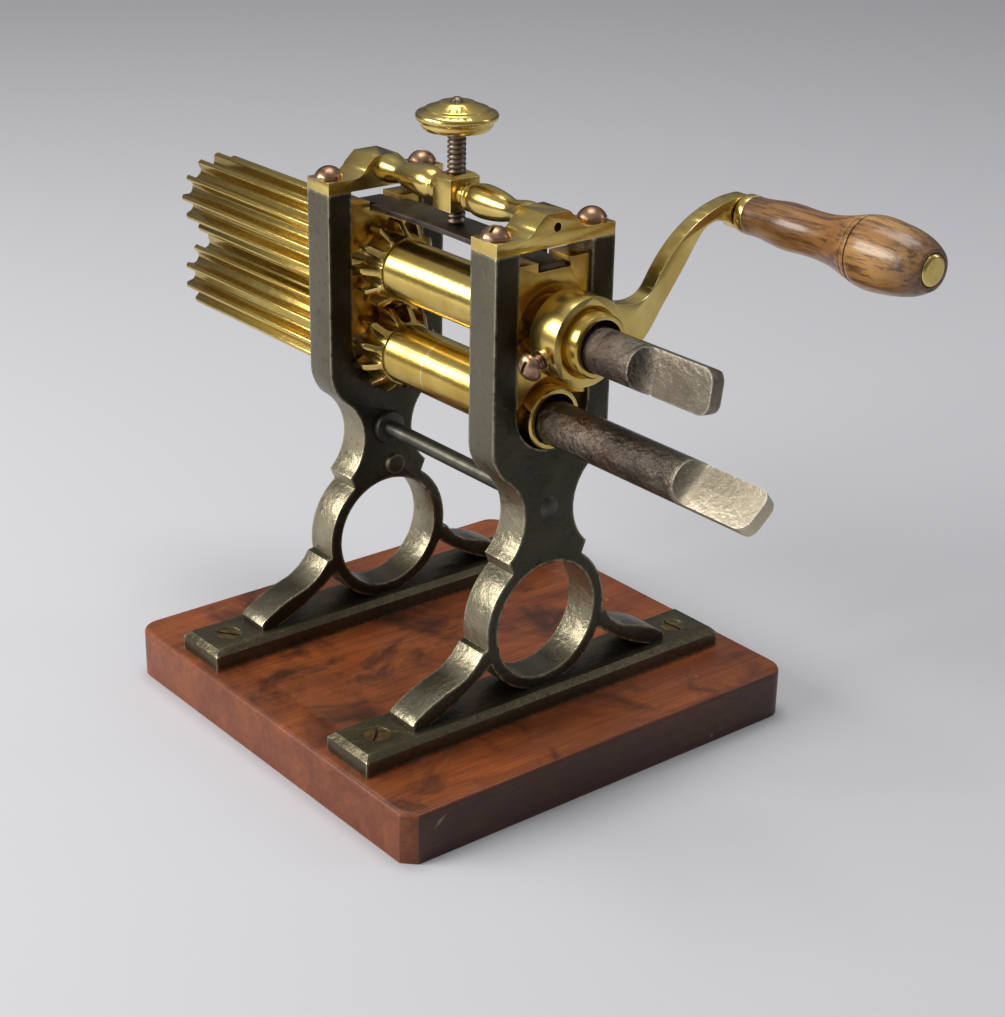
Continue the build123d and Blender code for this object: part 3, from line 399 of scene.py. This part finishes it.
# ------------------------------------------------------------------ set screw
# The same kind of domed steel screw, which fixes the crank on the roller's end. Its
# thread shows between the head and the pad on the hub.
def cut_thread(piece, foot, way, radius, depth, pitch, length):
    """Cuts a right-hand thread with rounded crests into a round shank."""
    bpy.ops.object.select_all(action="DESELECT")
    bpy.ops.mesh.primitive_plane_add(size=1.0, location=(0, 0, 0))
    cutter = bpy.context.object
    bpy.ops.object.mode_set(mode="EDIT")
    bpy.ops.mesh.select_all(action="SELECT")
    bpy.ops.transform.rotate(value=pi / 2, orient_axis="X", center_override=(0, 0, 0))
    groove_share = 0.92
    bpy.ops.transform.resize(
        value=(depth * 2, 1.0, pitch * groove_share), center_override=(0, 0, 0)
    )
    bpy.ops.transform.translate(value=(radius, 0, 0))
    bpy.ops.object.mode_set(mode="OBJECT")
    floor_share = 0.16
    for corner in cutter.data.vertices:
        if corner.co.x < radius:
            corner.co.z *= floor_share
    turns = cutter.modifiers.new("turns", "SCREW")
    turns.screw_offset = pitch
    turns.iterations = round(length / pitch)
    turns.steps = turns.render_steps = 28
    turns.use_normal_calculate = True
    bpy.ops.object.modifier_apply(modifier="turns")
    bpy.ops.object.mode_set(mode="EDIT")
    bpy.ops.mesh.select_all(action="SELECT")
    bpy.ops.mesh.fill_holes(sides=4)
    bpy.ops.mesh.normals_make_consistent(inside=False)
    bpy.ops.object.mode_set(mode="OBJECT")
    turn = Vector(way).to_track_quat("Z", "X").to_matrix().to_4x4()
    cutter.data.transform(Matrix.Translation(Vector(foot)) @ turn)
    groove = piece.modifiers.new("thread", "BOOLEAN")
    groove.operation = "DIFFERENCE"
    groove.solver = "EXACT"
    groove.object = cutter
    bpy.context.view_layer.objects.active = piece
    piece.select_set(True)
    bpy.ops.object.modifier_apply(modifier="thread")
    bpy.ops.object.shade_smooth_by_angle(angle=radians(40))
    bpy.data.objects.remove(cutter)
    piece.select_set(False)


set_screw = worked("set_screw", "upper_roll", bronzed, edge=0.0002)
set_turn = radians(197.0)
hub_x = 0.0685
hub_rim = 0.0160
upper_axis_z = 0.16755
set_way = (0.0, cos(set_turn), sin(set_turn))
set_foot = (hub_x, cos(set_turn) * hub_rim, upper_axis_z + sin(set_turn) * hub_rim)
cut_thread(
    set_screw, set_foot, set_way, radius=0.0025, depth=0.0005, pitch=0.0012, length=0.0048
)


# ------------------------------------------------------------------ pressure screw
# A steel screw through the bridge's boss, with a thread of 1.8 mm pitch. It is painted
# dark between its crests as shade.
thread_steel = Finish("thread_steel", Metallic=0.95)
film = thread_steel.noise(300, 4)
# Painted shade: the screw is painted near black between its crests.
hollow_shade = 1 - thread_steel.crevice(0.0010).between(0.35, 0.95)
tint = thread_steel.blend(film.between(0.3, 0.7), paint(150, 136, 122), paint(98, 84, 72))
thread_steel.feed(
    Base_Color=thread_steel.blend(hollow_shade, tint, paint(22, 17, 14)),
    Roughness=0.26 + 0.22 * film,
)
pressure_screw = worked("pressure_screw", "screw", thread_steel)
thread_foot = (0, 0, 0.1939)
cut_thread(
    pressure_screw, thread_foot, (0, 0, 1), radius=0.0034, depth=0.00062, pitch=0.0018,
    length=0.0306,
)


# ------------------------------------------------------------------ knob
# Brass, turned with a stepped ring below, a rounded rim and a low cone on top, and
# fixed on the pressure screw's end. It is polished like the bridge.
worked("screw_knob", "knob", bridge_brass, edge=0.0003)

# ------------------------------------------------------------------ crank
# A brass casting: hub, curved arm and eye, filed and polished. The grip turns on a
# spindle beside the eye, with a brass ferrule round its neck.
crank_brass = brass_finish(
    "crank_brass", (224, 200, 122), (200, 168, 88), 0.14, (1.0, 0.4, 0.4), wobble=0.15
)
worked("crank_arm", "upper_roll", crank_brass, edge=0.0004, segments=2)
worked("handle_spindle", "upper_roll", crank_brass, edge=0.0003)
worked("handle_ferrule", "grip", crank_brass, edge=0.0002)

# ------------------------------------------------------------------ handle
# Turned beech with two scored lines, varnished brown. It is darker at its neck and
# worn pale over the belly.
beech = Finish("varnished_wood", Coat_Weight=0.4, Coat_Roughness=0.14, IOR=1.5)
streak = beech.noise(75, 4, 0.6, 0.5, stretch=(0.16, 1.0, 1.0))
fleck = beech.noise(620, 5, 0.75, stretch=(0.06, 1.0, 1.0))
tint = beech.blend(streak.between(0.35, 0.65), paint(196, 148, 86), paint(140, 94, 50))
tint = beech.blend(fleck.between(0.47, 0.6) * 0.8, tint, paint(62, 36, 18))
neck = 1 - beech.height("X").between(0.074, 0.112)
tint = beech.blend(neck * 0.6, tint, paint(44, 24, 15))
tail = beech.height("X").between(0.142, 0.156)
tint = beech.blend(tail * 0.5, tint, paint(50, 28, 16))
# Painted shade: the scored lines and hollows are painted near black.
groove_shade = 1 - beech.crevice(0.002).between(0.3, 0.95)
tint = beech.blend(groove_shade * 0.95, tint, paint(20, 10, 7))
beech.feed(
    Base_Color=tint,
    Roughness=0.24 + 0.22 * beech.noise(90, 4),
    Normal=beech.relief(fleck, 0.0002, 0.4),
)
worked("crank_handle", "grip", beech, edge=0.0002)

# ------------------------------------------------------------------ heater irons
# Forged iron rods that lie loose in the rollers' bores, scaled and pitted by the
# fire. Each ends in a hammered flat to hold it by.
for iron, body, tongue_x, rust, flat_light_and_burnish in (
    ("heater_iron_upper", "upper_iron", 0.106, 0.2, 0.12),
    ("heater_iron_lower", "lower_iron", 0.128, 0.6, 0.7),
):
    forged = Finish("forged_iron", Metallic=0.85)
    scale = forged.noise(60, 4, 0.6)
    pits = forged.noise(520, 5, 0.68)
    tint = forged.blend(scale.between(0.4, 0.65), paint(120, 110, 98), paint(76, 68, 60))
    browned = forged.noise(45, 3, shift=(0.2, 0.4, 0.1)).between(0.45, 0.7) * rust
    tint = forged.blend(browned, tint, paint(104, 68, 44))
    tint = forged.blend(pits.between(0.56, 0.7) * 0.5, tint, paint(26, 22, 19))
    tongue = forged.height("X").between(tongue_x - 0.003, tongue_x + 0.002)
    # Partly burnish and partly painted light: the hammered flat is painted pale, strongly on the
    # lower iron and faintly on the upper, as if lit from the left.
    tint = forged.blend(tongue * flat_light_and_burnish, tint, paint(218, 206, 178))
    bare = 1 - forged.crevice(0.0014, True).between(0.3, 0.85)
    tint = forged.blend(bare * 0.85, tint, paint(222, 216, 200))
    forged.feed(
        Base_Color=tint,
        Roughness=0.1 + 0.2 * pits + 0.2 * tongue,
        Normal=forged.relief(
            pits * (1 - 0.6 * tongue), 0.0009, 0.8,
            forged.relief(forged.noise(300, 3) * (1 - 0.7 * tongue), 0.0016, 0.8),
        ),
    )
    worked(iron, body, forged, edge=0.0006, segments=3)


# ------------------------------------------------------------------ floor
# A plain pale surface for the machine to stand on. It is matt and even, so that it
# shows only the shadow.
bpy.ops.mesh.primitive_plane_add(size=14, location=(0, 0, 0))
floor = bpy.context.object
floor.name = "floor"
floor_finish = Finish("pale_floor", Roughness=0.9, Specular_IOR_Level=0.1)
floor_finish.shader.inputs["Base Color"].default_value = paint(206, 206, 210)
floor.data.materials.append(floor_finish.material)


# ------------------------------------------------------------------ light
# A large soft window to the left of the machine, a ceiling lamp, two narrow lamps
# that draw long glints on the brass, and a soft room all round.
def lamp(name, place, aim, size, power, colour=(1, 1, 1)):
    data = bpy.data.lights.new(name, "AREA")
    data.shape = "RECTANGLE"
    data.size, data.size_y = size
    data.energy = power
    data.color = colour
    made = bpy.data.objects.new(name, data)
    made.location = place
    made.rotation_euler = (Vector(aim) - Vector(place)).to_track_quat("-Z", "Y").to_euler()
    bpy.context.scene.collection.objects.link(made)


lamp("window", (-0.55, -1.15, 0.75), (0, 0, 0.1), (0.9, 0.55), 15.5, (1.0, 0.985, 0.96))
lamp("window_bar", (0.05, -1.3, 0.5), (0, 0, 0.12), (0.12, 0.9), 2.0)
lamp("ceiling", (-0.2, 0.1, 1.7), (0, 0, 0.1), (0.8, 0.8), 10.0)
lamp("far_side", (0.9, 1.2, 0.8), (0, 0, 0.15), (0.25, 0.9), 2.0, (0.95, 0.97, 1.0))

world = bpy.data.worlds.new("room")
bpy.context.scene.world = world
world.use_nodes = True
sky = world.node_tree
spot = sky.nodes.new("ShaderNodeTexCoord")
split = sky.nodes.new("ShaderNodeSeparateXYZ")
ramp = sky.nodes.new("ShaderNodeValToRGB")
sky.links.new(spot.outputs["Generated"], split.inputs[0])
sky.links.new(split.outputs["Z"], ramp.inputs["Fac"])
ramp.color_ramp.elements[0].position = 0.0
ramp.color_ramp.elements[0].color = (0.10, 0.105, 0.12, 1)
ramp.color_ramp.elements[1].position = 0.9
ramp.color_ramp.elements[1].color = (0.8, 0.8, 0.81, 1)
sky.links.new(ramp.outputs["Color"], sky.nodes["Background"].inputs["Color"])
sky.nodes["Background"].inputs["Strength"].default_value = 0.55
bpy.context.scene.view_settings.view_transform = "Standard"

# ------------------------------------------------------------------ camera
# It looks down on the corner of the board below the crank. Its angle and distance were
# solved from the board's edges and the frames.
view_turn = radians(-39.2638)
view_rise = radians(23.4992)
view_roll = radians(1.1376)
aim = Vector((0.029684, 0.000071, 0.090))
away = Vector((
    cos(view_turn) * cos(view_rise), sin(view_turn) * cos(view_rise), sin(view_rise)
))
right = Vector((-sin(view_turn), cos(view_turn), 0.0))
up = away.cross(right)
rolled_right = right * cos(view_roll) + up * sin(view_roll)
rolled_up = away.cross(rolled_right)
camera_data = bpy.data.cameras.new("camera")
camera_data.sensor_fit = "HORIZONTAL"
sensor_width = 36.0
focal_length_pixels = 2047.707
picture_width_pixels = 1005
camera_data.sensor_width = sensor_width
camera_data.lens = sensor_width * focal_length_pixels / picture_width_pixels
camera = bpy.data.objects.new("camera", camera_data)
turned = Matrix((rolled_right, rolled_up, away)).transposed().to_4x4()
camera_distance = 0.760595
camera.matrix_world = Matrix.Translation(aim + away * camera_distance) @ turned
bpy.context.scene.collection.objects.link(camera)
bpy.context.scene.camera = camera
